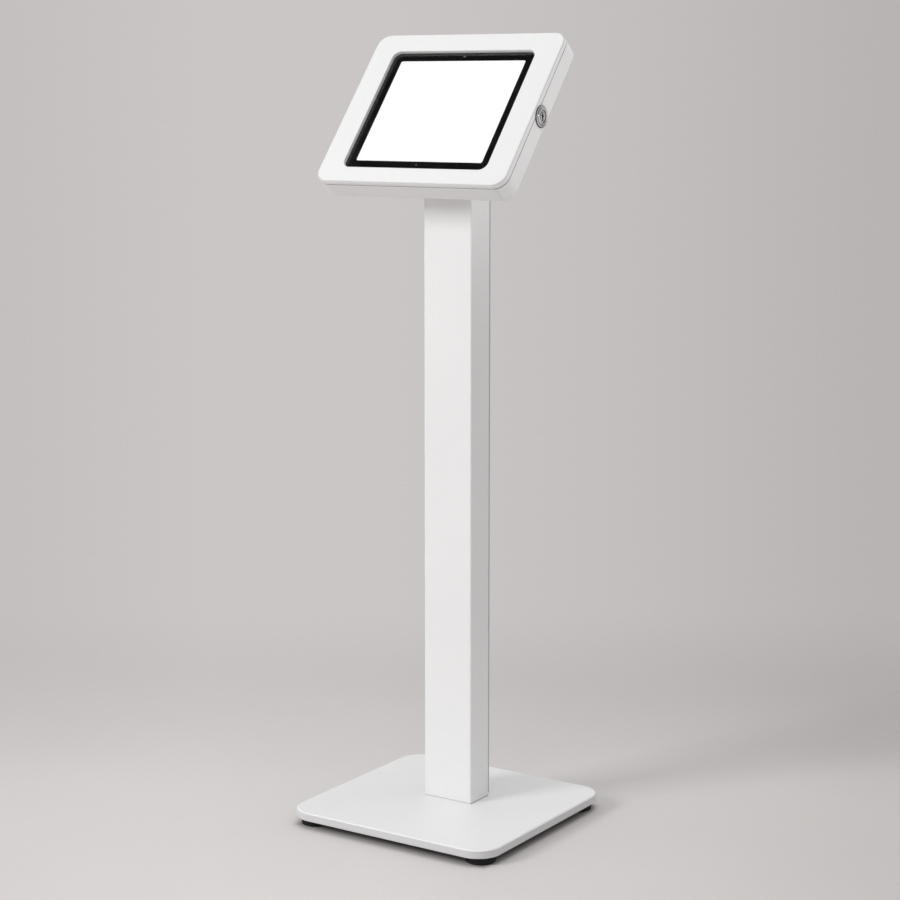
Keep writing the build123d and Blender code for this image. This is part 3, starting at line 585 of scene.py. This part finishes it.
def make_stage():
    rings, steps = 96, 192
    verts, faces = [(0.0, 0.0, 0.0)], []
    for i in range(1, rings + 1):
        r = 0.02 * i if i <= 60 else 1.2 * (40.0 / 1.2) ** ((i - 60) / 36.0)
        for k in range(steps):
            a = 2 * math.pi * k / steps
            verts.append((r * math.cos(a), r * math.sin(a), 0.0))
    for k in range(steps):
        faces.append((0, 1 + k, 1 + (k + 1) % steps))
    for i in range(rings - 1):
        for k in range(steps):
            a, b = 1 + i * steps, 1 + (i + 1) * steps
            faces.append((a + k, b + k, b + (k + 1) % steps, a + (k + 1) % steps))
    me = bpy.data.meshes.new("studio_floor")
    me.from_pydata(verts, [], faces)
    floor = bpy.data.objects.new("studio_floor", me)
    scene.collection.objects.link(floor)
    s = Shader("studio_floor")
    t = s.t
    side, back, ratio = place(s)
    # painted light: the floor takes the backdrop's grey, darker to both sides
    tone = backdrop_tone(s, ratio)
    grain = s.noise(350.0, 3.0, 0.6)
    cloud = s.noise(2.2, 2.0)
    # painted shade: the flat floor is painted darker behind the stand, as if it swept up into the backdrop
    sweep_shade = s.span(back, 0.02, 0.75, FLOOR_ALBEDO, FLOOR_ALBEDO * 0.885, smooth=True)
    level = s.math("MULTIPLY", s.math("DIVIDE", sweep_shade, 0.590), s.span(cloud, 0.3, 0.7, 0.985, 1.015))
    # painted light: the floor in front of the stand and to its right is painted lighter
    lift = s.math("MULTIPLY", s.span(back, 0.37, 0.13, 0.0, 0.080, smooth=True),
                  s.span(side, -0.25, 0.50, 0.38, 1.0, smooth=True))
    level = s.math("MULTIPLY", level, s.math("ADD", lift, 0.985))
    # painted shadow: the floor is painted darker under the plate, where no light reaches it
    xyz = s.split(s.obj)
    cover = s.math("MAXIMUM", s.math("SUBTRACT", s.math("ABSOLUTE", xyz[0]), 0.169),
                   s.math("SUBTRACT", s.math("ABSOLUTE", xyz[1]), 0.162))
    level = s.math("MULTIPLY", level, s.span(cover, -0.022, -0.002, 0.40, 1.0, smooth=True))
    s.set(Base_Color=s.vmath("SCALE", tone, None), Roughness=0.75, Normal=s.bump(grain, 0.10, 0.0002))
    scale = s.bsdf.inputs["Base Color"].links[0].from_node
    s.put(scale.inputs["Scale"], level)
    s.bsdf.inputs["Specular IOR Level"].default_value = 0.15
    # far off, the floor glows with the painted backdrop grey instead of taking light
    glow = t.nodes.new("ShaderNodeEmission")
    t.links.new(tone, glow.inputs[0])
    r = s.vmath("LENGTH", s.vmath("MULTIPLY", s.obj, (1.0, 1.0, 0.0)), out=1)
    far = s.math("MAXIMUM", s.span(back, 0.55, 1.30, 0.0, 1.0, smooth=True),
                 s.span(r, 1.3, 3.2, 0.0, 1.0, smooth=True))
    mixer = t.nodes.new("ShaderNodeMixShader")
    t.links.new(far, mixer.inputs[0])
    t.links.new(s.bsdf.outputs[0], mixer.inputs[1])
    t.links.new(glow.outputs[0], mixer.inputs[2])
    # seen from below, the floor is left open so that the underside shows
    geo = t.nodes.new("ShaderNodeNewGeometry")
    clear = t.nodes.new("ShaderNodeBsdfTransparent")
    both = t.nodes.new("ShaderNodeMixShader")
    t.links.new(geo.outputs["Backfacing"], both.inputs[0])
    t.links.new(mixer.outputs[0], both.inputs[1])
    t.links.new(clear.outputs[0], both.inputs[2])
    t.links.new(both.outputs[0], s.out.inputs["Surface"])
    me.materials.append(s.m)

    # far shell, seen by the camera only
    bpy.ops.mesh.primitive_uv_sphere_add(segments=96, ring_count=48, radius=42.0)
    dome = bpy.context.active_object
    dome.name = "studio_backdrop"
    s = Shader("studio_backdrop")
    glow = s.t.nodes.new("ShaderNodeEmission")
    s.t.links.new(backdrop_tone(s, place(s)[2]), glow.inputs[0])
    s.t.links.new(glow.outputs[0], s.out.inputs["Surface"])
    dome.data.materials.append(s.m)
    for p in dome.data.polygons:
        p.use_smooth = True
    dome.visible_diffuse = dome.visible_glossy = dome.visible_transmission = False
    dome.visible_volume_scatter = dome.visible_shadow = False


FLOOR_ALBEDO = 0.725
make_stage()


# ------------------------------------------------------------------ light
WALL, CEILING = 0.555, 0.50          # radiance of the room round the stand
world = bpy.data.worlds.new("studio")
scene.world = world
world.use_nodes = True
wt = world.node_tree
bg = wt.nodes["Background"]
bg.inputs[1].default_value = 1.0
# pale walls all round, darker towards the ceiling
coord = wt.nodes.new("ShaderNodeTexCoord")
axes = wt.nodes.new("ShaderNodeSeparateXYZ")
wt.links.new(coord.outputs["Generated"], axes.inputs[0])
lift = wt.nodes.new("ShaderNodeValToRGB")
stops = ((0.0, WALL), (0.50, WALL), (0.66, WALL), (0.88, CEILING), (1.0, CEILING))
while len(lift.color_ramp.elements) < len(stops):
    lift.color_ramp.elements.new(0.5)
for e, (pos, v) in zip(lift.color_ramp.elements, stops):
    e.position = pos
    e.color = (v * 1.003, v, v * 0.997, 1.0)
half = wt.nodes.new("ShaderNodeMapRange")
half.inputs[1].default_value, half.inputs[2].default_value = -1.0, 1.0
wt.links.new(axes.outputs[2], half.inputs[0])
wt.links.new(half.outputs[0], lift.inputs[0])
wt.links.new(lift.outputs[0], bg.inputs[0])


def area_light(name, at, aim, size, power, colour=(1.0, 1.0, 1.0)):
    d = bpy.data.lights.new(name, "AREA")
    d.shape = "RECTANGLE"
    d.size, d.size_y = size
    d.energy = power
    d.color = colour
    o = bpy.data.objects.new(name, d)
    scene.collection.objects.link(o)
    o.location = at
    o.rotation_mode = "QUATERNION"
    o.rotation_quaternion = (Vector(aim) - Vector(at)).to_track_quat("-Z", "Y")
    o.visible_camera = False
    return o


area_light("key_softbox", (-1.99, -3.73, 2.30), (0.0, 0.0, 0.80), (1.35, 1.5), 94.0)
area_light("top_softbox", (0.7, 0.2, 8.0), (0.0, 0.0, 0.3), (4.5, 4.5), 150.0)


def spot_light(name, at, aim, power, cone, blend, radius):
    d = bpy.data.lights.new(name, "SPOT")
    d.energy, d.spot_size, d.spot_blend, d.shadow_soft_size = power, math.radians(cone), blend, radius
    o = bpy.data.objects.new(name, d)
    scene.collection.objects.link(o)
    o.location = at
    o.rotation_mode = "QUATERNION"
    o.rotation_quaternion = (Vector(aim) - Vector(at)).to_track_quat("-Z", "Y")
    return o


spot_light("side_spot", (2.60, 0.35, 1.20), (0.155, 0.0, 1.055), 53.0, 13.5, 0.75, 0.12)
spot_light("back_kicker", (1.345, 1.78, 1.49), (0.1, 0.0, 0.74), 26.0, 20.0, 1.0, 0.42)
spot_light("lock_glint", (1.345, 1.78, 1.40), tuple(LOCK), 13.0, 6.0, 0.9, 0.33)


def black_flag():
    """Black card up on the left that keeps the screen's glass dark. Only reflections show it."""
    aim = Vector((0.0, -0.02, 1.01))
    d = Vector((-0.553, -0.172, 0.816)).normalized()
    u = d.orthogonal().normalized()
    v = d.cross(u)
    n, half = 12, 0.85
    verts, faces = [], []
    for i in range(n + 1):
        for j in range(n + 1):
            a, b = (2 * i / n - 1) * half, (2 * j / n - 1) * half
            verts.append(tuple(aim + d * 2.5 + u * a + v * b))
    for i in range(n):
        for j in range(n):
            k = i * (n + 1) + j
            faces.append((k, k + 1, k + n + 2, k + n + 1))
    me = bpy.data.meshes.new("studio_flag")
    me.from_pydata(verts, [], faces)
    card = bpy.data.objects.new("studio_flag", me)
    scene.collection.objects.link(card)
    s = Shader("studio_flag")
    weave = s.noise(900.0, 2.0)
    s.set(Base_Color=s.ramp(weave, (0.3, (0.004, 0.004, 0.004)), (0.7, (0.008, 0.008, 0.008))), Roughness=0.9)
    me.materials.append(s.m)
    card.visible_camera = card.visible_diffuse = card.visible_shadow = False
    card.visible_volume_scatter = False


black_flag()
